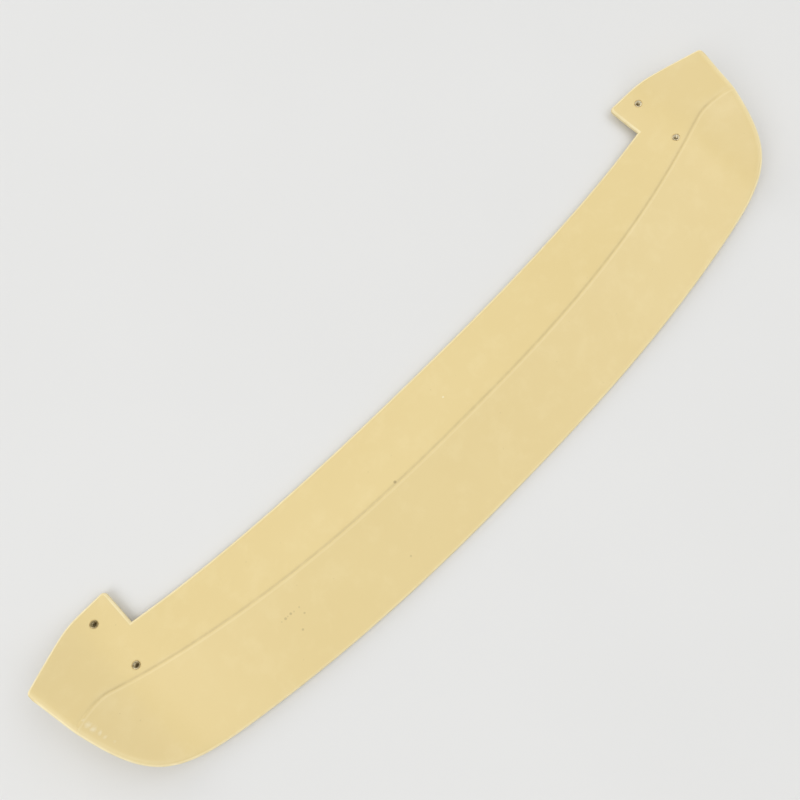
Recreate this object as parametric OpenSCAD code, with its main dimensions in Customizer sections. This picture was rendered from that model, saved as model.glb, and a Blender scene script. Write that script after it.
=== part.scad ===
// Roof spoiler, one moulding with four threaded inserts, lying with its fixing side up.
// X runs across the car, Y from the rear edge towards the front, Z up from the ground it lies on.

/* [Plan] */
// Overall width across the two outer corners
overall_w = 1068; // [900:1:1300]
// Depth from the middle of the rear edge to the front of the ears
overall_d = 247.5; // [215:0.5:320]
// Depth of the blade at its middle
chord = 176.5; // [130:0.5:210]
// How far the front edge runs forward between its middle and the notches
front_bow = 23.5; // [5:0.5:35]
// How far the rear edge runs forward between its middle and the shoulders
rear_bow = 29; // [5:0.5:45]
// Distance from the rear edge to the crease at the middle
crease_y = 98.5; // [60:0.5:120]
// How far the crease runs forward between its middle and the ears
crease_bow = 61; // [30:0.5:64]

/* [Ends] */
// Width of each ear, from the notch to the outer corner
ear_w = 112; // [95:1:150]
// Radius of the ear's inner front corner
ear_corner_r = 8; // [5:0.5:14]
// Radius of the outer corners
tip_r = 6.5; // [5:0.5:12]
// How far the outer corner lies behind the front of the ears
corner_back = 34; // [25:0.5:50]
// Distance from the notch to the bend in the front of each ear
ear_flat = 52; // [40:1:60]
// Length of the soft bend in the front of each ear
ear_bend = 15; // [8:1:40]
// Length of the soft bend where the front panel levels out into an ear
ear_fold = 30; // [5:1:45]
// Length over which each outer side turns into the rear edge
shoulder_l = 132; // [100:1:180]
// Angle of the swept up ends
sweep_angle = 35; // [0:0.5:45]
// Distance from the outer corner to the line where an end starts to rise
sweep_w = 70; // [50:1:90]
// Length of the soft bend where an end starts to rise
sweep_blend = 20; // [5:1:40]

/* [Section] */
// Height of the front edge's upper side above the ground
front_z = 9.5; // [8:0.5:20]
// Height of the rear edge's upper side above the ground
rear_z = 7; // [6:0.5:20]
// Height of the crease at the middle
crease_z = 31; // [20:0.5:60]
// How much lower the crease is where the ends start to rise
crease_drop = 13; // [0:0.5:20]
// Height of the small step along the crease, whose rear side stands proud
step_h = 1; // [0.2:0.1:2]
// Width of the small step along the crease
step_w = 4; // [2:0.5:8]
// Length of the bend at the crease in the upper face
fold_blend = 2; // [0.5:0.5:10]
// Length of the bend below the crease in the lower face
under_blend = 12; // [2:1:30]
// Thickness at the edges
edge_t = 6; // [4:0.5:7]
// Thickness away from the edges
body_t = 12.5; // [12:0.5:20]
// Distance from an edge over which the body reaches its thickness
taper_l = 32; // [20:1:50]
// Depth of the rounded drop along the outer sides
roll_z = 2.5; // [0:0.5:4]
// Width of the rounded drop along the outer sides
roll_w = 9; // [5:0.5:15]

/* [Fixings] */
// Distance of the front inserts from the notch sides
insert_front_in = 30; // [20:0.5:45]
// Distance of the front inserts from the front of the ears
insert_front_back = 21; // [16:0.5:30]
// Distance of the rear inserts from the notch sides
insert_rear_in = 23.5; // [18:0.5:40]
// Distance of the rear inserts from the front ones, from front to back
insert_pitch = 66; // [45:0.5:70]
// Bore of the inserts, the minor diameter of the thread
bore_d = 5; // [3.2:0.1:5.2]
// Outer diameter of an insert's body
insert_d = 8; // [7:0.1:9]
// Length of an insert below its flange
insert_l = 8.5; // [6:0.5:9]
// Diameter of an insert's flange
flange_d = 10; // [9.5:0.1:14]
// Thickness of an insert's flange
flange_t = 1; // [0.6:0.1:1.5]
// How far an insert's flange stands above the face
flange_proud = 0.2; // [0:0.1:0.5]

/* [Hidden] */

paint = [0.91, 0.83, 0.62];
steel = [0.72, 0.72, 0.70];

// The grid ends a rim radius inside the outline, and the rounded rim fills the rest
rim_r = edge_t / 2;
half_w = overall_w / 2 - rim_r;
notch_w = overall_w / 2 - ear_w;
shoulder_w = half_w - shoulder_l;
sweep_start = overall_w / 2 - sweep_w;
corner_y = overall_d - corner_back;

// Powers that shape the bows, and the slope of an outer side at the corner
front_power = 2.6;
rear_power = 2.4;
crease_power = 2.45;
side_slope = 5.4;
shoulder_pull = 0.77;
side_pull = 26;

// The crease turns back to the outer side over its last stretch
hook_l = 51;
hook_y = 32;
hook_power = 1.6;

// The front panel starts to level out this far before the notch
ear_lead = 60;

// Shares of the depth where the rows leave the crease and the blade, close to the outer side
middle_share = 0.3;
blade_share = 0.6;

// A ramp with a soft start: 0 well below zero, s well above it
function ramp(s, blend) = (s + sqrt(s * s + blend * blend)) / 2;
function clamp01(s) = min(1, max(0, s));
function smooth(s) = let (c = clamp01(s)) c * c * (3 - 2 * c);

// Cubic curve between a and d, pulled by b and c
function cubic(a, b, c, d, t) =
    pow(1 - t, 3) * a + 3 * pow(1 - t, 2) * t * b + 3 * (1 - t) * t * t * c + t * t * t * d;

// The rear edge's bow, and its slope at the shoulder
function rear_arc(x) = rim_r + rear_bow * pow(x / shoulder_w, rear_power);
shoulder_slope = rear_bow * rear_power / shoulder_w;

// The turn from the rear edge to the outer side, which ends close behind the outer corner
side_end_y = corner_y - tip_r - edge_t;
turn_x = [shoulder_w, shoulder_w + shoulder_pull * shoulder_l, half_w - side_pull, half_w];
turn_y = [rear_arc(shoulder_w), rear_arc(shoulder_w) + shoulder_slope * shoulder_pull * shoulder_l,
    side_end_y - side_slope * side_pull, side_end_y];
function turn(p, t) = cubic(p[0], p[1], p[2], p[3], t);
function turn_at(x, low = 0, high = 1, steps = 24) =
    let (mid = (low + high) / 2)
    steps == 0 ? mid
    : turn(turn_x, mid) < x ? turn_at(x, mid, high, steps - 1)
    : turn_at(x, low, mid, steps - 1);

// Lines across the plan for a distance x from the centre, all inside the rounded rim
function rear_line(x) = x <= shoulder_w ? rear_arc(x) : turn(turn_y, turn_at(x));
function blade_line(x) = chord - rim_r + front_bow * pow(min(x, notch_w) / notch_w, front_power);
function crease_line(x) =
    crease_y + crease_bow * pow(x / (notch_w + ear_w - hook_l), crease_power)
    - hook_y * pow(clamp01((x - half_w + hook_l) / hook_l), hook_power);
function ear_drop(x) = ramp(x - notch_w - ear_flat, ear_bend) - ramp(ear_corner_r - ear_flat, ear_bend);
function ear_outline(x) =
    overall_d - corner_back * ear_drop(max(x, notch_w + ear_corner_r)) / ear_drop(half_w);
function rounding(r, s) = r - sqrt(max(0, r * r - pow(max(0, s), 2)));
function ear_line(x) =
    let (slope = ear_outline(x + 0.5) - ear_outline(x - 0.5),
        corner = rounding(ear_corner_r - rim_r, notch_w + ear_corner_r - x),
        tip = rounding(tip_r - rim_r, x - half_w + tip_r - rim_r))
    ear_outline(x) - rim_r * sqrt(1 + slope * slope) - corner - tip;

// The row between the two panels follows the crease, and leaves it where it meets the outer side
function middle_line(x) = max(crease_line(x), rear_line(x) + middle_share * (blade_end(x) - rear_line(x)));
function blade_end(x) = max(blade_line(x), rear_line(x) + blade_share * (ear_line(x) - rear_line(x)));

// Distances from the edges, measured in plan
function rear_gap(x, y) =
    let (mid = min(max(x, 0.5), half_w - 0.5), slope = rear_line(mid + 0.5) - rear_line(mid - 0.5))
    (y - rear_line(x)) / sqrt(1 + slope * slope);
function front_gap(x, y) =
    let (corner = [notch_w + rim_r, blade_line(notch_w)])
    x <= corner.x ? blade_line(x) - y
    : min(ear_line(x) - y, y > corner.y ? x - corner.x : norm([x, y] - corner));

// Height of the upper face
function sweep_z(x) = tan(sweep_angle) * ramp(x - sweep_start, sweep_blend);
function fold_z(x, y, blend) =
    let (crease = crease_z - crease_drop * pow(min(x, sweep_start) / sweep_start, 2),
        line = crease_line(x),
        front_fall = (crease - front_z) / (blade_line(x) - line),
        rear_fall = (crease - rear_z) / (line - rim_r),
        level = ear_fold * smooth((x - notch_w + ear_lead) / ear_lead),
        ahead = y - line - ramp(y - blade_line(x), level))
    crease + rear_fall * ahead - ramp((front_fall + rear_fall) * ahead, (front_fall + rear_fall) * blend);
function step_z(x, y) = -step_h * smooth((y - crease_line(x)) / step_w + 0.5) * smooth((blade_line(x) - y) / taper_l);
function roll_share(x) = smooth((x - shoulder_w) / (half_w - shoulder_w));
function rolled_z(x, y) =
    let (s = 1 - clamp01(rear_gap(x, y) / roll_w)) -roll_z * roll_share(x) * (1 - sqrt(1 - s * s));
function face_z(x, y) = fold_z(x, y, fold_blend) + step_z(x, y) + sweep_z(x) + rolled_z(x, y);

// Thickness of the body, and height of the lower face
function body_thickness(x, y) =
    let (s = 1 - clamp01(max(0, min(rear_gap(x, y), front_gap(x, y))) / taper_l))
    edge_t + (body_t - edge_t) * (1 - s * s);
function under_z(x, y) = fold_z(x, y, under_blend) + sweep_z(x) - body_thickness(x, y);

// Stations along the span: even along the blade, close at the ear's corner, and closer and closer
// towards the outer corner
blade_steps = 17;
corner_shares = [0.12, 0.35, 0.65, 1];
ear_steps = 20;
crowding = 1.8;
half_stations = concat(
    [for (i = [1:blade_steps]) (notch_w + rim_r) * i / blade_steps],
    [for (s = corner_shares) notch_w + rim_r + s * (ear_corner_r - rim_r)],
    [for (i = [1:ear_steps]) half_w - (half_w - notch_w - ear_corner_r) * pow(1 - i / ear_steps, crowding)]);
half_count = len(half_stations);
stations = concat([for (i = [1:half_count]) -half_stations[half_count - i]], [0], half_stations);
last = len(stations) - 1;
notch_left = half_count - blade_steps;
notch_right = half_count + blade_steps;

// Rows from the rear edge to the front: rear panel, step, front panel and ear
rear_rows = [0, 0.03, 0.08, 0.16, 0.3, 0.46, 0.64, 0.82];
front_rows = [0.14, 0.32, 0.5, 0.68, 0.85, 1];
ear_rows = [0.3, 0.6, 0.85, 1];
step_room = 1 / 8;
blade_rows = len(rear_rows) + 3 + len(front_rows);
all_rows = blade_rows + len(ear_rows);
function has_ear(k) = k <= notch_left || k >= notch_right;
function rows(k) = has_ear(k) ? all_rows : blade_rows;
function station_rows(x, ear) =
    let (rear = rear_line(x), middle = middle_line(x), blade = blade_end(x), front = ear_line(x),
        room = min(middle - rear, blade - middle),
        half_step = min(step_w / 2, step_room * room))
    concat(
        [for (s = rear_rows) rear + s * (middle - half_step - rear)],
        [middle - half_step, middle, middle + half_step],
        [for (s = front_rows) middle + half_step + s * (blade - middle - half_step)],
        ear ? [for (s = ear_rows) blade + s * (front - blade)] : []);
row_table = [for (k = [0:last]) station_rows(abs(stations[k]), has_ear(k))];

// Numbers of the grid's points, station by station
first = [for (k = 0, n = 0; k <= last; n = n + rows(k), k = k + 1) n];
grid_count = first[last] + rows(last);
function at(k, j) = first[k] + j;
upper = [for (k = [0:last]) for (y = row_table[k]) [stations[k], y, face_z(abs(stations[k]), y)]];
lower = [for (k = [0:last]) for (y = row_table[k]) [stations[k], y, under_z(abs(stations[k]), y)]];
ground_z = min([for (p = lower) p.z]);

// The grid's edge, once round against the clock, and the longest reach of a mitre at its corners
mitre_limit = 0.6;
rim = concat(
    [for (k = [0:last]) at(k, 0)],
    [for (j = [1:all_rows - 1]) at(last, j)],
    [for (k = [last - 1:-1:notch_right]) at(k, all_rows - 1)],
    [for (j = [all_rows - 2:-1:blade_rows - 1]) at(notch_right, j)],
    [for (k = [notch_right - 1:-1:notch_left]) at(k, blade_rows - 1)],
    [for (j = [blade_rows:all_rows - 1]) at(notch_left, j)],
    [for (k = [notch_left - 1:-1:0]) at(k, all_rows - 1)],
    [for (j = [all_rows - 2:-1:1]) at(0, j)]);
rim_count = len(rim);
function flat(p) = [p.x, p.y];
function outward(a, b) = let (d = flat(b) - flat(a)) [d.y, -d.x] / norm(d);
function mitre(i) =
    let (before = upper[rim[(i + rim_count - 1) % rim_count]],
        here = upper[rim[i]],
        after = upper[rim[(i + 1) % rim_count]],
        n1 = outward(before, here),
        n2 = outward(here, after))
    (n1 + n2) / max(mitre_limit, 1 + n1 * n2);
rim_angles = [30, 60, 90, 120, 150];
rim_points = [for (a = rim_angles) for (i = [0:rim_count - 1])
    let (top = upper[rim[i]], bottom = lower[rim[i]], out = mitre(i) * rim_r * sin(a),
        mid = (top.z + bottom.z) / 2, half = (top.z - bottom.z) / 2)
    [top.x + out.x, top.y + out.y, mid + half * cos(a)]];

// Triangles, mirrored about the centre
function quad(a, b, c, d, turned) = turned ? [[a, b, d], [b, c, d]] : [[a, b, c], [a, c, d]];
cells = [for (k = [0:last - 1]) for (j = [0:min(rows(k), rows(k + 1)) - 2]) [k, j]];
upper_faces = [for (c = cells) each quad(
    at(c[0], c[1]), at(c[0], c[1] + 1), at(c[0] + 1, c[1] + 1), at(c[0] + 1, c[1]), c[0] < half_count)];
lower_faces = [for (f = upper_faces) [f[2], f[1], f[0]] + grid_count * [1, 1, 1]];
function rim_index(ring, i) =
    let (n = i % rim_count)
    ring == 0 ? rim[n]
    : ring > len(rim_angles) ? rim[n] + grid_count
    : 2 * grid_count + (ring - 1) * rim_count + n;
rim_faces = [for (ring = [0:len(rim_angles)]) for (i = [0:rim_count - 1]) each quad(
    rim_index(ring, i), rim_index(ring, i + 1), rim_index(ring + 1, i + 1), rim_index(ring + 1, i), false)];

// Places the children on the upper face, square to it, for a distance x from the centre
module on_face(side, x, y) {
    rise_x = face_z(x + 0.5, y) - face_z(x - 0.5, y);
    rise_y = face_z(x, y + 0.5) - face_z(x, y - 0.5);
    lean = acos(1 / norm([rise_x, rise_y, 1]));
    translate([side * x, y, face_z(x, y)])
        rotate(a = lean, v = [rise_y, -side * rise_x, 0])
            children();
}

module place_insert(side, front) {
    x = notch_w + (front ? insert_front_in : insert_rear_in);
    y = overall_d - insert_front_back - (front ? 0 : insert_pitch);
    on_face(side, x, y) children();
}

// How far the cutting shapes run past the faces that they cut
past = 5;

// The shape of an insert without its bore, which is also the shape of its seat
module insert_body(above) {
    translate([0, 0, -flange_t - insert_l]) cylinder(d = insert_d, h = insert_l + flange_t / 2, $fn = 48);
    translate([0, 0, -flange_t]) cylinder(d = flange_d, h = flange_t + above, $fn = 48);
}

// Stands the part on the ground, with the origin under its middle
module placed() {
    translate([0, -overall_d / 2, -ground_z]) children();
}

module spoiler_shell() {
    color(paint) placed() difference() {
        polyhedron(points = concat(upper, lower, rim_points), faces = concat(upper_faces, lower_faces, rim_faces));
        for (side = [-1, 1]) for (front = [true, false]) place_insert(side, front) insert_body(above = past);
    }
}

module insert(side, front) {
    color(steel) placed() place_insert(side, front) difference() {
        insert_body(above = flange_proud);
        translate([0, 0, -flange_t - insert_l - past]) cylinder(d = bore_d, h = insert_l + flange_t + 2 * past, $fn = 48);
    }
}

module insert_left_front() { insert(-1, true); }
module insert_left_rear() { insert(-1, false); }
module insert_right_front() { insert(1, true); }
module insert_right_rear() { insert(1, false); }

spoiler_shell();
insert_left_front();
insert_left_rear();
insert_right_front();
insert_right_rear();
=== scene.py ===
"""A cream roof spoiler with four threaded inserts, lying on a pale floor with its fixing side up.

The shell is built again from the same named sizes as the solid, with a finer mesh, a crisp crease
and rounded rims. The inserts get chamfers and a thread. Lengths are in millimetres up to the point
where a mesh is made, and the scene is in metres.
"""

import math

import bmesh
import bpy
import numpy as np
from mathutils import Matrix, Vector


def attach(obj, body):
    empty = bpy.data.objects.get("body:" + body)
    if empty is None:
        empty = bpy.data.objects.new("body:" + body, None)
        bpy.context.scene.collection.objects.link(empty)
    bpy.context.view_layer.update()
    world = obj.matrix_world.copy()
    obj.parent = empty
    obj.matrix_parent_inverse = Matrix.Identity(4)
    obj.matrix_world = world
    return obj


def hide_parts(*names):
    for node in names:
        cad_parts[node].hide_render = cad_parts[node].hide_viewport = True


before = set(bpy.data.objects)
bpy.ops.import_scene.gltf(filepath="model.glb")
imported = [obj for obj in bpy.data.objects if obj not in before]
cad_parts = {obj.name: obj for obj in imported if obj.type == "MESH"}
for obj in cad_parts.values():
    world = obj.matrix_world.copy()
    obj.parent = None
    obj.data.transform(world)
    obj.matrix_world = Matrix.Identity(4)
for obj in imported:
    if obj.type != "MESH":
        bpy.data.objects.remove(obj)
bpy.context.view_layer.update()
MM = 0.001

# Sizes of the part in millimetres, as in its source
OVERALL_W, OVERALL_D, CHORD = 1068, 247.5, 176.5
FRONT_BOW, REAR_BOW = 23.5, 29
CREASE_Y, CREASE_BOW = 98.5, 61
EAR_W, CORNER_BACK = 112, 34
EAR_FLAT, EAR_BEND, EAR_FOLD, EAR_LEAD = 52, 15, 30, 60
SHOULDER_L = 132
SWEEP_ANGLE, SWEEP_W, SWEEP_BLEND = math.radians(35), 70, 20
FRONT_Z, REAR_Z, CREASE_Z, CREASE_DROP = 9.5, 7, 31, 13
STEP_H, STEP_W = 1, 4
FOLD_BLEND, UNDER_BLEND = 2, 12
EDGE_T, BODY_T, TAPER_L = 6, 12.5, 32
ROLL_Z, ROLL_W = 2.5, 9
INSERT_FRONT_IN, INSERT_FRONT_BACK, INSERT_REAR_IN, INSERT_PITCH = 30, 21, 23.5, 66
BORE_D, INSERT_D, INSERT_L = 5, 8, 8.5
FLANGE_D, FLANGE_T, FLANGE_PROUD = 10, 1, 0.2
FRONT_POWER, REAR_POWER, CREASE_POWER = 2.6, 2.4, 2.45
SIDE_SLOPE, SHOULDER_PULL, SIDE_PULL = 5.4, 0.77, 26
HOOK_L, HOOK_Y, HOOK_POWER = 51, 32, 1.6
MIDDLE_SHARE, BLADE_SHARE, MITRE_LIMIT = 0.3, 0.6, 0.6

RIM_R = EDGE_T / 2
HALF_W = OVERALL_W / 2 - RIM_R
NOTCH_W = OVERALL_W / 2 - EAR_W
SHOULDER_W = HALF_W - SHOULDER_L
SWEEP_START = OVERALL_W / 2 - SWEEP_W
CORNER_Y = OVERALL_D - CORNER_BACK

# The ears' corners, crisper here than the solid's radii of 8 and 6.5 mm
EAR_CORNER_R, TIP_R = 6, 4

# Fine detail that only the looks need, in millimetres
FINE_STEP_W = 3.0  # width over which the small step drops
GROOVE_DEPTH, GROOVE_W, GROOVE_AHEAD = 0.25, 1.3, 0.1
BEAD_H, BEAD_W, BEAD_BEHIND = 0.1, 0.9, 3.2  # rounded shoulder behind the step
FADE_START, FADE_END = 486, 516  # where the groove runs out towards an outer side
FLANGE_SHY = 0.75  # how far a flange stays inside its recess, as a dark gap
FLANGE_CHAMFER, BODY_CHAMFER, SEAT_CHAMFER = 0.3, 0.3, 0.08
FLANGE_EASE_W, FLANGE_EASE_H = 0.6, 0.02  # the flange's face falls a little before its chamfer
THREAD_PITCH, THREAD_DEPTH, THREAD_START, THREAD_FADE, LEAD_IN = 1.0, 0.5, 0.1, 0.4, 0.8
THREAD_GAIN, THREAD_CUT = 1.3, 0.15  # they flatten the thread's crests and roots
SHADOW_LINE_Z, SHADOW_LINE_W = 1.0, 0.45  # a painted shadow line, above the middle of the rims

SLOPE_REACH = 0.5  # a slope is taken from this far on both sides of a place


def ramp(s, blend):
    return (s + np.sqrt(s * s + blend * blend)) / 2


def clamp01(s):
    return np.clip(s, 0, 1)


def smooth(s):
    c = clamp01(s)
    return c * c * (3 - 2 * c)


def cubic(p, t):
    return (
        (1 - t) ** 3 * p[0]
        + 3 * (1 - t) ** 2 * t * p[1]
        + 3 * (1 - t) * t * t * p[2]
        + t**3 * p[3]
    )


def slope_of(line, x):
    return (line(x + SLOPE_REACH) - line(x - SLOPE_REACH)) / (2 * SLOPE_REACH)


# Lines across the plan, for a distance x from the centre


def rear_arc(x):
    return RIM_R + REAR_BOW * (x / SHOULDER_W) ** REAR_POWER


SHOULDER_SLOPE = REAR_BOW * REAR_POWER / SHOULDER_W
SIDE_END_Y = CORNER_Y - TIP_R - EDGE_T
TURN_X = (SHOULDER_W, SHOULDER_W + SHOULDER_PULL * SHOULDER_L, HALF_W - SIDE_PULL, HALF_W)
TURN_Y = (
    rear_arc(SHOULDER_W),
    rear_arc(SHOULDER_W) + SHOULDER_SLOPE * SHOULDER_PULL * SHOULDER_L,
    SIDE_END_Y - SIDE_SLOPE * SIDE_PULL,
    SIDE_END_Y,
)
TURN_POINTS = 6001
TURN_T = np.linspace(0, 1, TURN_POINTS)
TURN_XS, TURN_YS = cubic(TURN_X, TURN_T), cubic(TURN_Y, TURN_T)


def rear_line(x):
    arc = rear_arc(np.minimum(x, SHOULDER_W))
    return np.where(x <= SHOULDER_W, arc, np.interp(x, TURN_XS, TURN_YS))


def blade_line(x):
    return CHORD - RIM_R + FRONT_BOW * (np.minimum(x, NOTCH_W) / NOTCH_W) ** FRONT_POWER


def crease_line(x):
    hook = clamp01((x - HALF_W + HOOK_L) / HOOK_L) ** HOOK_POWER
    bow = (x / (NOTCH_W + EAR_W - HOOK_L)) ** CREASE_POWER
    return CREASE_Y + CREASE_BOW * bow - HOOK_Y * hook


def ear_drop(x):
    return ramp(x - NOTCH_W - EAR_FLAT, EAR_BEND) - ramp(EAR_CORNER_R - EAR_FLAT, EAR_BEND)


def ear_outline(x):
    drop = ear_drop(np.maximum(x, NOTCH_W + EAR_CORNER_R))
    return OVERALL_D - CORNER_BACK * drop / ear_drop(HALF_W)


def rounding(r, s):
    return r - np.sqrt(np.maximum(0, r * r - np.maximum(0, s) ** 2))


def ear_line(x):
    slope = slope_of(ear_outline, x)
    corner = rounding(EAR_CORNER_R - RIM_R, NOTCH_W + EAR_CORNER_R - x)
    tip = rounding(TIP_R - RIM_R, x - HALF_W + TIP_R - RIM_R)
    return ear_outline(x) - RIM_R * np.sqrt(1 + slope * slope) - corner - tip


def blade_end(x):
    return np.maximum(blade_line(x), rear_line(x) + BLADE_SHARE * (ear_line(x) - rear_line(x)))


def middle_line(x):
    return np.maximum(crease_line(x), rear_line(x) + MIDDLE_SHARE * (blade_end(x) - rear_line(x)))


# Distances from the edges, and heights of the two faces


def rear_gap(x, y):
    slope = slope_of(rear_line, np.clip(x, SLOPE_REACH, HALF_W - SLOPE_REACH))
    return (y - rear_line(x)) / np.sqrt(1 + slope * slope)


def front_gap(x, y):
    corner_x, corner_y = NOTCH_W + RIM_R, blade_line(NOTCH_W)
    beside = np.where(y > corner_y, x - corner_x, np.hypot(x - corner_x, y - corner_y))
    return np.where(x <= corner_x, blade_line(x) - y, np.minimum(ear_line(x) - y, beside))


def sweep_z(x):
    return math.tan(SWEEP_ANGLE) * ramp(x - SWEEP_START, SWEEP_BLEND)


def fold_z(x, y, blend):
    crease = CREASE_Z - CREASE_DROP * (np.minimum(x, SWEEP_START) / SWEEP_START) ** 2
    line, blade = crease_line(x), blade_line(x)
    front_fall = (crease - FRONT_Z) / (blade - line)
    rear_fall = (crease - REAR_Z) / (line - RIM_R)
    level = EAR_FOLD * smooth((x - NOTCH_W + EAR_LEAD) / EAR_LEAD)
    ahead = y - line - ramp(y - blade, level)
    falls = front_fall + rear_fall
    return crease + rear_fall * ahead - ramp(falls * ahead, falls * blend)


def rolled_z(x, y):
    share = smooth((x - SHOULDER_W) / (HALF_W - SHOULDER_W))
    s = 1 - clamp01(rear_gap(x, y) / ROLL_W)
    return -ROLL_Z * share * (1 - np.sqrt(np.maximum(0, 1 - s * s)))


def face_z(x, y, step_w=STEP_W):
    step = smooth((y - crease_line(x)) / step_w + 0.5)
    fade = smooth((blade_line(x) - y) / TAPER_L)
    return fold_z(x, y, FOLD_BLEND) - STEP_H * step * fade + sweep_z(x) + rolled_z(x, y)


def groove_z(x, y):
    ahead = (y - crease_line(x) - GROOVE_AHEAD) / GROOVE_W
    behind = (y - crease_line(x) + BEAD_BEHIND) / BEAD_W
    share = smooth((FADE_END - x) / (FADE_END - FADE_START))
    return share * (BEAD_H * np.exp(-behind * behind) - GROOVE_DEPTH * np.exp(-ahead * ahead))


def under_z(x, y):
    s = 1 - clamp01(np.maximum(0, np.minimum(rear_gap(x, y), front_gap(x, y))) / TAPER_L)
    thickness = EDGE_T + (BODY_T - EDGE_T) * (1 - s * s)
    return fold_z(x, y, UNDER_BLEND) + sweep_z(x) - thickness


# The shell's grid: stations along the span, and rows from the rear edge to the front. Rows are
# shares of the way between two lines, and those at the crease are shares of half the step's width.

BLADE_STEPS, EAR_STEPS = 120, 56
EAR_CROWDING = 1.8  # stations stand closer together towards the ear's outer side
STEP_ROOM = 8  # half the step's width is at most this part of the way to the next line
REAR_ROWS = np.concatenate([[0, 0.006, 0.014, 0.024, 0.036, 0.05, 0.07], np.linspace(0.1, 0.985, 17)])
BEAD_ROWS = [-2.6, -2.2, -1.9, -1.6, -1.3]
GROOVE_ROWS = [-1, -0.7, -0.45, -0.2, 0.05, 0.3, 0.5, 0.7, 0.9, 1.2, 1.6, 2.1]
CREASE_ROWS = BEAD_ROWS + GROOVE_ROWS
FRONT_ROWS = np.concatenate([np.linspace(0.06, 0.94, 15), [0.97, 1]])
EAR_ROWS = np.concatenate([np.linspace(0.07, 0.93, 13), [0.97, 1]])
CORNER_SHARES = np.array([0.04, 0.12, 0.22, 0.35, 0.5, 0.65, 0.82, 1])
RIM_STEP = 12  # degrees round the rim between two rings of points
RIM_ANGLES = np.radians(np.arange(RIM_STEP, 180, RIM_STEP))

blade_stations = (NOTCH_W + RIM_R) * np.arange(1, BLADE_STEPS + 1) / BLADE_STEPS
corner_stations = NOTCH_W + RIM_R + CORNER_SHARES * (EAR_CORNER_R - RIM_R)
to_side = (1 - np.arange(1, EAR_STEPS + 1) / EAR_STEPS) ** EAR_CROWDING
ear_stations = HALF_W - (HALF_W - NOTCH_W - EAR_CORNER_R) * to_side
half_stations = np.concatenate([blade_stations, corner_stations, ear_stations])
half_count = len(half_stations)
stations = np.concatenate([-half_stations[::-1], [0], half_stations])
last = len(stations) - 1
notch_left, notch_right = half_count - BLADE_STEPS, half_count + BLADE_STEPS
blade_rows = len(REAR_ROWS) + len(CREASE_ROWS) + len(FRONT_ROWS)
all_rows = blade_rows + len(EAR_ROWS)


def has_ear(k):
    return k <= notch_left or k >= notch_right


def station_rows(x, ear):
    lines = rear_line, middle_line, blade_end, ear_line
    rear, middle, blade, front = (float(line(x)) for line in lines)
    half_step = min(STEP_W / 2, (middle - rear) / STEP_ROOM, (blade - middle) / STEP_ROOM)
    low, high = middle + CREASE_ROWS[0] * half_step, middle + CREASE_ROWS[-1] * half_step
    parts = [
        rear + REAR_ROWS * (low - rear),
        middle + np.array(CREASE_ROWS) * half_step,
        high + FRONT_ROWS * (blade - high),
    ]
    if ear:
        parts.append(blade + EAR_ROWS * (front - blade))
    return np.concatenate(parts)


def shell_mesh():
    """The shell's points in millimetres, before it is placed, its faces and its lowest height."""
    tables = [station_rows(abs(x), has_ear(k)) for k, x in enumerate(stations)]
    first = np.concatenate([[0], np.cumsum([len(t) for t in tables])])
    count = first[-1]
    xs = np.concatenate([np.full(len(t), x) for x, t in zip(stations, tables)])
    ys = np.concatenate(tables)
    span = np.abs(xs)
    tops = face_z(span, ys, FINE_STEP_W) + groove_z(span, ys)
    bottoms = under_z(span, ys)

    def at(k, j):
        return int(first[k]) + j

    # the outline, once round: along the rear edge, up the right side and back along the front
    rim = np.array(
        [at(k, 0) for k in range(last + 1)]
        + [at(last, j) for j in range(1, all_rows)]
        + [at(k, all_rows - 1) for k in range(last - 1, notch_right - 1, -1)]
        + [at(notch_right, j) for j in range(all_rows - 2, blade_rows - 2, -1)]
        + [at(k, blade_rows - 1) for k in range(notch_right - 1, notch_left - 1, -1)]
        + [at(notch_left, j) for j in range(blade_rows, all_rows)]
        + [at(k, all_rows - 1) for k in range(notch_left - 1, -1, -1)]
        + [at(0, j) for j in range(all_rows - 2, 0, -1)]
    )
    around = len(rim)
    plan = np.stack([xs[rim], ys[rim]], 1)
    along = np.roll(plan, -1, 0) - plan
    after = np.stack([along[:, 1], -along[:, 0]], 1) / np.linalg.norm(along, axis=1)[:, None]
    before = np.roll(after, 1, 0)
    mitre = (before + after) / np.maximum(MITRE_LIMIT, 1 + (before * after).sum(1))[:, None]
    middle, half = (tops[rim] + bottoms[rim]) / 2, (tops[rim] - bottoms[rim]) / 2
    points = [np.stack([xs, ys, tops], 1), np.stack([xs, ys, bottoms], 1)]
    for a in RIM_ANGLES:
        out = plan + mitre * RIM_R * math.sin(a)
        points.append(np.column_stack([out, middle + half * math.cos(a)]))

    faces = []
    for k in range(last):
        for j in range(min(len(tables[k]), len(tables[k + 1])) - 1):
            upper = [at(k, j), at(k, j + 1), at(k + 1, j + 1), at(k + 1, j)]
            faces.append(upper[::-1])
            faces.append([n + count for n in upper])
    between = [2 * count + i * around + np.arange(around) for i in range(len(RIM_ANGLES))]
    rings = [rim, *between, rim + count]
    for above, below in zip(rings, rings[1:]):
        for i in range(around):
            n = (i + 1) % around
            faces.append([int(above[i]), int(below[i]), int(below[n]), int(above[n])])
    return np.concatenate(points), faces, bottoms.min()


# Short ways to make objects


def new_object(name, points, faces):
    mesh = bpy.data.meshes.new(name)
    mesh.from_pydata([tuple(p) for p in points], [], faces)
    mesh.update()
    made = bpy.data.objects.new(name, mesh)
    bpy.context.scene.collection.objects.link(made)
    return made


def outward(obj):
    """Turns all faces outward."""
    bm = bmesh.new()
    bm.from_mesh(obj.data)
    bmesh.ops.recalc_face_normals(bm, faces=bm.faces)
    bm.to_mesh(obj.data)
    bm.free()


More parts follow.
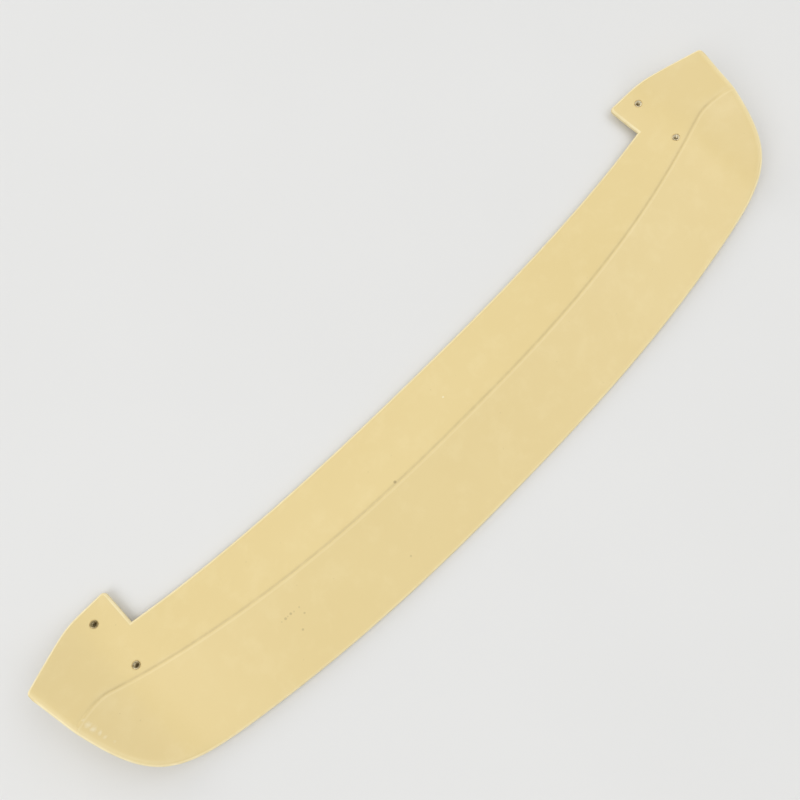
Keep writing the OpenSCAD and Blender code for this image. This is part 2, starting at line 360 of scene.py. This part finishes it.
def shade(obj, angle):
    """Smooth shading, with edges sharp from this angle in degrees."""
    obj.data.polygons.foreach_set("use_smooth", [True] * len(obj.data.polygons))
    obj.data.set_sharp_from_angle(angle=math.radians(angle))


def add_values(mesh, name, values):
    """One number at each point, which the materials read."""
    layer = mesh.attributes.new(name, "FLOAT", "POINT")
    layer.data.foreach_set("value", np.asarray(values, np.float32))


def circle(r, z, sides):
    """Points of one level ring."""
    turn = 2 * math.pi * np.arange(sides) / sides
    return np.stack([r * np.cos(turn), r * np.sin(turn), np.full(sides, z)], 1)


def ring_faces(rings, sides):
    """Faces of a closed form from rings of points, the last of which meets the first."""
    return [
        (i * sides + j, n * sides + j, n * sides + m, i * sides + m)
        for i, n in zip(range(rings), [*range(1, rings), 0])
        for j, m in zip(range(sides), [*range(1, sides), 0])
    ]


# The shell, placed as the solid is, and with its four seats cut

SHELL_SHARP, INSERT_SHARP = 35, 30  # degrees
SEAT_SIDES, INSERT_SIDES = 64, 72
AXIS_R = 0.001  # a ring round the axis so small that it closes the form
SEAT_MOUTH_Z, CUT_TOP = 0.02, 3
SEAT_FLOOR, SEAT_END = -FLANGE_T, -FLANGE_T - INSERT_L

# Each seat: the side of the part, and whether it is the front one
SEATS = {
    "left_front": (-1, True),
    "left_rear": (-1, False),
    "right_front": (1, True),
    "right_rear": (1, False),
}

shell_points, shell_faces, ground_z = shell_mesh()
PLACED = np.array([0, -OVERALL_D / 2, -ground_z])
shell = new_object("spoiler_skin", (shell_points + PLACED) * MM, shell_faces)


def seat_frame(side, front):
    """Where an insert stands: on the upper face and square to it."""
    x = NOTCH_W + (INSERT_FRONT_IN if front else INSERT_REAR_IN)
    y = OVERALL_D - INSERT_FRONT_BACK - (0 if front else INSERT_PITCH)
    rise_x = float(slope_of(lambda beside: face_z(beside, y), x))
    rise_y = float(slope_of(lambda beside: face_z(x, beside), y))
    up = Vector((-side * rise_x, -rise_y, 1)).normalized()
    turn = Vector((0, 0, 1)).rotation_difference(up).to_matrix().to_4x4()
    place = (np.array([side * x, y, float(face_z(x, y))]) + PLACED) * MM
    return Matrix.Translation(Vector(place)) @ turn


def seat_cutter():
    """The four seats' forms in one object."""
    mouth_r = FLANGE_D / 2 + SEAT_CHAMFER
    outline = [
        (AXIS_R, SEAT_END),
        (INSERT_D / 2, SEAT_END),
        (INSERT_D / 2, SEAT_FLOOR),
        (FLANGE_D / 2, SEAT_FLOOR),
        (FLANGE_D / 2, -SEAT_CHAMFER),
        (mouth_r, SEAT_MOUTH_Z),
        (mouth_r, CUT_TOP),
        (AXIS_R, CUT_TOP),
    ]
    form = np.concatenate([circle(r, z, SEAT_SIDES) for r, z in outline])
    points, faces = [], []
    for side, front in SEATS.values():
        place, start = seat_frame(side, front), len(points)
        points += [place @ (Vector(p) * MM) for p in form]
        faces += [[n + start for n in f] for f in ring_faces(len(outline), SEAT_SIDES)]
    return new_object("seat_cutter", points, faces)


def cut_away(obj, cutter):
    """Cuts the cutter out of an object, and removes it."""
    outward(obj)
    outward(cutter)
    cut = obj.modifiers.new("seats", "BOOLEAN")
    cut.operation, cut.solver, cut.object = "DIFFERENCE", "EXACT", cutter
    bpy.context.view_layer.update()
    whole = obj.evaluated_get(bpy.context.evaluated_depsgraph_get())
    mesh = bpy.data.meshes.new_from_object(whole)
    obj.modifiers.clear()
    obj.data = mesh
    mesh.name = obj.name
    bpy.data.objects.remove(cutter)


def shell_values(mesh):
    """What the paint has to know at each point of the shell; distances are in millimetres."""
    co = np.zeros(len(mesh.vertices) * 3, np.float32)
    mesh.vertices.foreach_get("co", co)
    x, y, z = (co.reshape(-1, 3).astype(float) / MM - PLACED).T
    x = np.minimum(np.abs(x), HALF_W)
    top, bottom = face_z(x, y), under_z(x, y)
    side = rear_gap(x, y)
    return {
        "edge_mm": np.minimum(side, front_gap(x, y)),
        "side_mm": side,
        "crease_mm": y - crease_line(x),
        "girth_mm": z - (top + bottom) / 2,
        "notch": (np.abs(x - NOTCH_W) < EAR_CORNER_R) & (y > blade_line(NOTCH_W)),
        "skin": z > top - BODY_T / 2,
    }


cut_away(shell, seat_cutter())
for key, values in shell_values(shell.data).items():
    add_values(shell.data, key, values)
shade(shell, SHELL_SHARP)

# The inserts: a chamfered flange, a body and a bore with its thread

# how much darker each insert's zinc is: some tarnish, and painted shade for how light falls on each
# side
TARNISH_AND_SHADE = {"left_front": 0.75, "left_rear": 0.55, "right_front": 0.1, "right_rear": 0.1}
CHAMFER_IN, CHAMFER_DOWN = 0.3, 0.4  # shares of the chamfer at the point that rounds it
THREAD_LEVELS = 8  # rings of points in one turn of the thread


def insert_mesh():
    """An insert's points in millimetres, on its own axis, and its faces."""
    top, bore_end = FLANGE_PROUD, FLANGE_PROUD - LEAD_IN
    flange_r, body_r, bore_r = FLANGE_D / 2 - FLANGE_SHY, INSERT_D / 2, BORE_D / 2
    outline = [
        (bore_r + LEAD_IN, top),
        (flange_r - FLANGE_CHAMFER - FLANGE_EASE_W, top),
        (flange_r - FLANGE_CHAMFER, top - FLANGE_EASE_H),
        (flange_r - FLANGE_CHAMFER * CHAMFER_IN, top - FLANGE_CHAMFER * CHAMFER_DOWN),
        (flange_r, top - FLANGE_CHAMFER),
        (flange_r, -FLANGE_T),
        (body_r, -FLANGE_T),
        (body_r, SEAT_END + BODY_CHAMFER),
        (body_r - BODY_CHAMFER, SEAT_END),
        (bore_r + BODY_CHAMFER, SEAT_END),
    ]
    rows = [circle(r, z, INSERT_SIDES) for r, z in outline]
    turns = np.arange(INSERT_SIDES) / INSERT_SIDES  # shares of a full turn
    for z in np.arange(SEAT_END + THREAD_START, bore_end, THREAD_PITCH / THREAD_LEVELS):
        wave = np.abs(((z / THREAD_PITCH - turns) % 1) * 2 - 1)
        fade = min(1, (bore_end - z) / THREAD_FADE)
        r = bore_r + THREAD_DEPTH * clamp01(wave * THREAD_GAIN - THREAD_CUT) * fade
        rows.append(circle(r, z, INSERT_SIDES))
    rows.append(circle(bore_r, bore_end, INSERT_SIDES))
    return np.concatenate(rows), ring_faces(len(rows), INSERT_SIDES)


def make_insert(key, points, faces):
    place = seat_frame(*SEATS[key])
    made = new_object(f"threaded_{key}", [place @ (Vector(p) * MM) for p in points], faces)
    outward(made)
    shade(made, INSERT_SHARP)
    turned = made.data.attributes.new("turned", "FLOAT_VECTOR", "POINT")
    turned.data.foreach_set("vector", (points * MM).astype(np.float32).ravel())
    add_values(made.data, "tarnish_and_shade", np.full(len(points), TARNISH_AND_SHADE[key]))
    return made


insert_points, insert_faces = insert_mesh()
inserts = [(make_insert(key, insert_points, insert_faces), f"insert_{key}") for key in SEATS]


# Materials


class Nodes:
    """Short ways to add nodes to a material."""

    def __init__(self, name):
        self.material = bpy.data.materials.new(name)
        self.material.use_nodes = True
        self.tree = self.material.node_tree
        self.shader = self.tree.nodes["Principled BSDF"]

    def add(self, kind, **values):
        node = self.tree.nodes.new("ShaderNode" + kind)
        for key, value in values.items():
            setattr(node, key, value)
        return node

    def link(self, out, into):
        self.tree.links.new(out, into)

    def number(self, operation, a, b=0.0, clamp=False):
        node = self.add("Math", operation=operation, use_clamp=clamp)
        for socket, value in zip(node.inputs, (a, b)):
            if isinstance(value, (int, float)):
                socket.default_value = value
            else:
                self.link(value, socket)
        return node.outputs[0]

    def times(self, product, *factors):
        for factor in factors:
            product = self.number("MULTIPLY", product, factor)
        return product

    def ramp(self, value, low, high, out_low=0.0, out_high=1.0, curve="SMOOTHSTEP"):
        node = self.add("MapRange", interpolation_type=curve)
        ends = {"From Min": low, "From Max": high, "To Min": out_low, "To Max": out_high}
        for socket, end in ends.items():
            node.inputs[socket].default_value = end
        self.link(value, node.inputs["Value"])
        return node.outputs["Result"]

    def rise(self, value, band):
        return self.ramp(value, *band)

    def fall(self, value, band):
        return self.ramp(value, *band, 1.0, 0.0)

    def noise(self, vector, scale, detail, roughness):
        node = self.add("TexNoise")
        node.inputs["Scale"].default_value = scale
        node.inputs["Detail"].default_value = detail
        node.inputs["Roughness"].default_value = roughness
        self.link(vector, node.inputs["Vector"])
        return node.outputs[0]

    def patches(self, vector, noise, band, ends):
        return self.ramp(self.noise(vector, *noise), *band, *ends)

    def attribute(self, name):
        return self.add("Attribute", attribute_name=name).outputs["Fac"]

    def flatten(self, vector):
        """The vector's three numbers, and the vector without its height."""
        parts, flat = self.add("SeparateXYZ"), self.add("CombineXYZ")
        self.link(vector, parts.inputs[0])
        self.link(parts.outputs[0], flat.inputs[0])
        self.link(parts.outputs[1], flat.inputs[1])
        return parts.outputs, flat.outputs[0]

    def mix(self, share, a, b):
        node = self.add("Mix", data_type="RGBA")
        for socket, value in ((node.inputs[0], share), (node.inputs[6], a), (node.inputs[7], b)):
            if isinstance(value, tuple):
                socket.default_value = (*value, 1.0)
            else:
                self.link(value, socket)
        return node.outputs[2]

    def bump(self, height, distance, strength, normal=None):
        node = self.add("Bump")
        node.inputs["Strength"].default_value = strength
        node.inputs["Distance"].default_value = distance
        self.link(height, node.inputs["Height"])
        if normal is not None:
            self.link(normal, node.inputs["Normal"])
        return node.outputs[0]


# Colours
CREAM, CREAM_DEEP, CREAM_PALE = (0.775, 0.62, 0.293), (0.73, 0.565, 0.25), (0.93, 0.81, 0.49)
# the dark tone serves the real marks and dust, and the painted shade along the crease and in the
# notch walls
GRIME_AND_SHADE, SCUFF_WHITE, DOT_WHITE = (0.33, 0.25, 0.12), (0.93, 0.86, 0.66), (0.95, 0.9, 0.75)
ZINC_PALE, ZINC_DARK, OVERSPRAY_AND_LIGHT = (0.92, 0.84, 0.62), (0.34, 0.27, 0.13), (0.74, 0.63, 0.38)
FLOOR_TONES = (0.74, 0.74, 0.73), (0.77, 0.77, 0.76)

# Noises: scale per metre, detail and roughness. Patches: a noise, the band of its values that
# counts, and what the two ends of that band give.
CLOUDS = (7.0, 3.0, 0.55), (0.3, 0.7), (0.0, 0.22)
BLOTCHES = (38.0, 4.0, 0.6), (0.45, 0.75), (0.0, 0.12)
SHADE_PATCHES = (90.0, 3.0, 0.5), (0.25, 0.6), (0.6, 1.0)
RIM_HIGHLIGHT_PATCHES = (60.0, 4.0, 0.7), (0.3, 0.6), (0.6, 1.0)
SCUFF_PATCHES = (130.0, 2.0, 0.5), (0.3, 0.7), (0.35, 1.0)
GLOSS_PATCHES = (24.0, 3.0, 0.5), (0.3, 0.7), (0.36, 0.46)
ZINC_CLOUDS = (420.0, 3.0, 0.6), (0.38, 0.6), (0.0, 0.35)
RAGGED_NOISE, PEEL_NOISE, SINK_NOISE = (300.0, 3.0, 0.6), (420.0, 2.0, 0.4), (16.0, 1.0, 0.5)
RING_NOISE, FLOOR_NOISE = (5200.0, 3.0, 0.6), (3.0, 2.0, 0.5)

# Bands in millimetres: ahead of the crease, and in from the edge, which is below 0 on the rims
# painted shade along the crease: where it starts, its dark core and its faint haze
SHADE_START, SHADE_CORE, SHADE_HAZE = (-1.7, -0.4), (0.0, 3.0), (2.0, 7.0)
# the painted highlight on the crease's shoulder, behind the step
SHOULDER_RISE, SHOULDER_FALL = (-4.9, -3.7), (-2.9, -1.7)
RIM_BAND, SHADOW_LINE_BAND, SIDE_BAND = (-1.7, 0.1), (-2.4, -1.2), (1.0, 5.0)
# Bands in metres: along the half span, where the rims get more painted highlight
HIGHLIGHT_SPAN, HIGHLIGHT_ENDS, SIDE_SPAN = (0.36, 0.47), (0.6, 0.95), (0.46, 0.5)
# How much of each is mixed in
CORE_SHARE, HAZE_SHARE, SHOULDER_SHARE, SIDE_SHARE = 0.26, 0.04, 0.2, 0.25
SHADOW_LINE_SHARE, SCUFF_SHARE, SCUFF_DULL, DUST_SHARE = 0.6, 0.6, 0.25, 0.18
DUST_SCALE, DUST_BAND = 55.0, (0.025, 0.05)
# Bumps: depth in metres and strength
PEEL_BUMP, SINK_BUMP = (0.00006, 0.5), (0.0006, 0.35)
SCUFF_BUMP, RING_BUMP = (0.00002, 0.6), (0.00002, 0.5)
PAINT_IOR, COAT_WEIGHT, COAT_ROUGHNESS = 1.5, 0.2, 0.38
# The zinc: roughness over its turned rings, and the heights, share and metallic value of the paler
# bore, which is old overspray and painted light
ZINC_RINGS, ZINC_ROUGH = (0.3, 0.7), (0.25, 0.45)
SPRAY_LIGHT_Z, SPRAY_LIGHT_SHARE, SPRAY_LIGHT_METAL = (-2.0 * MM, -0.2 * MM), 0.85, 0.35

# Small marks in the paint: (x, y) in millimetres, size in millimetres, strength
MARKS = [
    (-109.9, -21.7, 1.5, 0.7),
    (-298.7, -42.1, 1.3, 0.4),
    (-295.4, -42.1, 0.8, 0.25),
    (-291.1, -42.3, 1.2, 0.45),
    (-287.0, -43.1, 0.9, 0.2),
    (-304.0, -41.7, 0.8, 0.2),
    (-279.8, -43.7, 0.9, 0.25),
    (-280.0, -52.2, 1.0, 0.35),
    (-293.5, -63.5, 1.1, 0.4),
    (-154.5, -91.2, 1.0, 0.3),
]
PALE_MARKS = [(0.0, 9.8, 1.0, 0.5)]
# Whitish scuffs at the end on the left: (x, y) in millimetres, size in millimetres
SCUFFS = [
    (-510.5, 28.5, 3.0),
    (-509.5, 22.0, 4.0),
    (-509.0, 15.0, 4.0),
    (-506.8, 7.8, 3.2),
    (-506.4, 0.6, 2.8),
    (-503.6, -9.0, 2.6),
]
MARK_SOFT, SCUFF_SOFT = 1.6, 1.9  # an outline fades from size / soft to size * soft
SCUFF_RAGGED = 6.0  # how far noise moves a scuff's outline, in millimetres


def paint():
    n = Nodes("cream_paint")
    where = n.add("NewGeometry").outputs["Position"]
    parts, flat = n.flatten(where)

    def near(x, y, size, soft=MARK_SOFT, ragged=0.0):
        place = n.add("VectorMath", operation="DISTANCE")
        n.link(flat, place.inputs[0])
        place.inputs[1].default_value = (x * MM, y * MM, 0)
        away = n.number("ADD", place.outputs["Value"], ragged)
        return n.fall(away, (size * MM / soft, size * MM * soft))

    skin, crease = n.attribute("skin"), n.attribute("crease_mm")
    edge, side = n.attribute("edge_mm"), n.attribute("side_mm")
    span = n.number("ABSOLUTE", parts[0])

    colour = n.mix(n.patches(where, *CLOUDS), CREAM, CREAM_DEEP)
    colour = n.mix(n.patches(where, *BLOTCHES), colour, CREAM_PALE)

    # painted shade in the groove along the crease, and a painted highlight on its shoulder
    core = n.times(n.fall(crease, SHADE_CORE), CORE_SHARE)
    haze = n.times(n.fall(crease, SHADE_HAZE), HAZE_SHARE)
    groove = n.times(n.rise(crease, SHADE_START), skin, n.fall(span, (FADE_START * MM, FADE_END * MM)))
    crease_shade = n.times(n.number("ADD", core, haze), groove, n.patches(where, *SHADE_PATCHES))
    colour = n.mix(crease_shade, colour, GRIME_AND_SHADE)
    shoulder = n.times(n.rise(crease, SHOULDER_RISE), n.fall(crease, SHOULDER_FALL), skin)
    colour = n.mix(n.times(shoulder, SHOULDER_SHARE), colour, CREAM_PALE)

    # a painted highlight on the rims, most of all round the ends
    rim_highlight = n.times(n.patches(where, *RIM_HIGHLIGHT_PATCHES), n.ramp(span, *HIGHLIGHT_SPAN, *HIGHLIGHT_ENDS))
    colour = n.mix(n.times(n.fall(edge, RIM_BAND), rim_highlight), colour, CREAM_PALE)
    # a painted highlight in a band along the outer sides of the ends
    outer = n.times(n.fall(side, SIDE_BAND), n.rise(span, SIDE_SPAN))
    colour = n.mix(n.times(outer, SIDE_SHARE), colour, CREAM_PALE)

    # a faint painted shadow line in the walls beside the notch
    off = n.number("ABSOLUTE", n.number("SUBTRACT", n.attribute("girth_mm"), SHADOW_LINE_Z))
    shadow_line = n.times(n.fall(off, (0.0, SHADOW_LINE_W)), n.fall(edge, SHADOW_LINE_BAND), n.attribute("notch"))
    colour = n.mix(n.times(shadow_line, SHADOW_LINE_SHARE), colour, GRIME_AND_SHADE)

    # whitish scuffs with ragged outlines at the end on the left
    ragged = n.times(n.noise(where, *RAGGED_NOISE), SCUFF_RAGGED * MM)
    scuffed = 0.0
    for x, y, size in SCUFFS:
        scuffed = n.number("MAXIMUM", near(x, y, size, SCUFF_SOFT, ragged), scuffed)
    scuff = n.times(scuffed, n.patches(where, *SCUFF_PATCHES), skin)
    colour = n.mix(n.times(scuff, SCUFF_SHARE), colour, SCUFF_WHITE)

    for marks, tone in ((MARKS, GRIME_AND_SHADE), (PALE_MARKS, DOT_WHITE)):
        for x, y, size, strength in marks:
            colour = n.mix(n.times(near(x, y, size), skin, strength), colour, tone)

    # a few fine specks of dust anywhere
    dust = n.add("TexVoronoi")
    dust.inputs["Scale"].default_value = DUST_SCALE
    n.link(where, dust.inputs["Vector"])
    speck = n.fall(dust.outputs["Distance"], DUST_BAND)
    colour = n.mix(n.times(speck, DUST_SHARE), colour, GRIME_AND_SHADE)
    n.link(colour, n.shader.inputs["Base Color"])

    gloss = n.patches(where, *GLOSS_PATCHES)
    rough = n.number("ADD", gloss, n.times(scuff, SCUFF_DULL), clamp=True)
    n.link(rough, n.shader.inputs["Roughness"])
    n.shader.inputs["IOR"].default_value = PAINT_IOR
    n.shader.inputs["Coat Weight"].default_value = COAT_WEIGHT
    n.shader.inputs["Coat Roughness"].default_value = COAT_ROUGHNESS

    # the spray's orange peel, shallow sink marks and the scuffs' scratches
    peel = n.bump(n.noise(where, *PEEL_NOISE), *PEEL_BUMP)
    sink = n.bump(n.noise(where, *SINK_NOISE), *SINK_BUMP, peel)
    n.link(n.bump(scuff, *SCUFF_BUMP, sink), n.shader.inputs["Normal"])
    return n.material


def zinc():
    n = Nodes("zinc_steel")
    where = n.add("Attribute", attribute_name="turned").outputs["Vector"]
    parts, flat = n.flatten(where)
    radius = n.add("VectorMath", operation="LENGTH")
    n.link(flat, radius.inputs[0])
    turned = n.add("CombineXYZ")
    n.link(radius.outputs["Value"], turned.inputs[0])
    n.link(parts[2], turned.inputs[2])
    rings = n.noise(turned.outputs[0], *RING_NOISE)
    # tarnish and painted shade darken the zinc
    dull = n.number("ADD", n.patches(where, *ZINC_CLOUDS), n.attribute("tarnish_and_shade"), clamp=True)
    colour = n.mix(dull, ZINC_PALE, ZINC_DARK)

    # the bore paler deeper in: old overspray, and painted light that lifts the shade in the bore
    spray_and_light = n.times(n.fall(parts[2], SPRAY_LIGHT_Z), SPRAY_LIGHT_SHARE)
    colour = n.mix(spray_and_light, colour, OVERSPRAY_AND_LIGHT)
    metal = n.ramp(spray_and_light, 0.0, 1.0, 1.0, SPRAY_LIGHT_METAL, "LINEAR")
    n.link(metal, n.shader.inputs["Metallic"])
    n.link(colour, n.shader.inputs["Base Color"])
    n.link(n.ramp(rings, *ZINC_RINGS, *ZINC_ROUGH), n.shader.inputs["Roughness"])
    n.link(n.bump(rings, *RING_BUMP), n.shader.inputs["Normal"])
    return n.material


PAINT, ZINC = paint(), zinc()
shell.data.materials.clear()
shell.data.materials.append(PAINT)
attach(shell, "root")
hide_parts("spoiler_shell")
for piece, node in inserts:
    piece.data.materials.append(ZINC)
    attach(piece, "root")
    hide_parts(node)


# The pale floor

FLOOR_REACH = 30.0  # half the floor's width in metres
FLOOR_ROUGHNESS = 0.85
FLOOR_CORNERS = (-1, -1), (1, -1), (1, 1), (-1, 1)

floor_points = [(x * FLOOR_REACH, y * FLOOR_REACH, 0) for x, y in FLOOR_CORNERS]
floor = new_object("studio_floor", floor_points, [(0, 1, 2, 3)])
look = Nodes("pale_floor")
spot = look.add("NewGeometry").outputs["Position"]
look.link(look.mix(look.noise(spot, *FLOOR_NOISE), *FLOOR_TONES), look.shader.inputs["Base Color"])
look.shader.inputs["Roughness"].default_value = FLOOR_ROUGHNESS
floor.data.materials.append(look.material)

# The camera over the floor, in metres: its height and the point right below it. The tilts are the
# two shares by which the way down to the floor leans in the picture, and the turn is that of the
# part's X axis about the upright.
LENS_PX, IMAGE_PX, SENSOR = 808.75, 800, 36.0
CAMERA_Z, CAMERA_X, CAMERA_Y = 0.930, -0.18693, 0.003 - OVERALL_D / 2 * MM
TILT_X, TILT_Y, TURN = 0.01148, 0.24293, math.radians(45.194)
CLIP_START, CLIP_END = 0.01, 100

down_to_floor = Vector((TILT_X, TILT_Y, 1)).normalized()
level = Vector((0, 1, 0)).cross(down_to_floor).normalized()
upright = -down_to_floor
ahead = upright.cross(level)
part_x = math.cos(TURN) * level + math.sin(TURN) * ahead
part_y = -math.sin(TURN) * level + math.cos(TURN) * ahead
picture_right, picture_down, into_picture = Matrix((part_x, part_y, upright)).col
aim = Matrix((picture_right, -picture_down, -into_picture)).transposed()

camera_data = bpy.data.cameras.new("photo_camera")
camera_data.sensor_width = SENSOR
camera_data.lens = SENSOR * LENS_PX / IMAGE_PX
camera_data.clip_start, camera_data.clip_end = CLIP_START, CLIP_END
camera = bpy.data.objects.new("photo_camera", camera_data)
bpy.context.scene.collection.objects.link(camera)
camera.matrix_world = Matrix.Translation((CAMERA_X, CAMERA_Y, CAMERA_Z)) @ aim.to_4x4()
bpy.context.scene.camera = camera


# Wide soft lights round the part: name, height and direction in degrees, power in watts
LIGHTS = [
    ("soft_left", 50, 180, 122),
    ("soft_front", 25, 90, 84),
    ("soft_right", 50, 0, 62),
    ("soft_rear", 50, 300, 57),
]
LIGHT_DISTANCE, LIGHT_SIZE = 6.0, 5.0
ROOM_COLOUR, ROOM_STRENGTH = (1.0, 1.0, 1.0, 1.0), 0.52


def add_light(name, height, direction, power):
    up, round_z = math.radians(height), math.radians(direction)
    level_share = math.cos(up)
    toward = Vector((level_share * math.cos(round_z), level_share * math.sin(round_z), math.sin(up)))
    data = bpy.data.lights.new(name, "AREA")
    data.shape, data.size, data.energy = "DISK", LIGHT_SIZE, power
    lamp = bpy.data.objects.new(name, data)
    lamp.location = toward * LIGHT_DISTANCE
    lamp.rotation_mode = "QUATERNION"
    lamp.rotation_quaternion = (-toward).to_track_quat("-Z", "Y")
    bpy.context.scene.collection.objects.link(lamp)


for light in LIGHTS:
    add_light(*light)

world = bpy.data.worlds.new("soft_room")
bpy.context.scene.world = world
world.use_nodes = True
world.node_tree.nodes["Background"].inputs["Color"].default_value = ROOM_COLOUR
world.node_tree.nodes["Background"].inputs["Strength"].default_value = ROOM_STRENGTH
bpy.context.scene.view_settings.view_transform = "Standard"
bpy.context.scene.view_settings.look = "None"
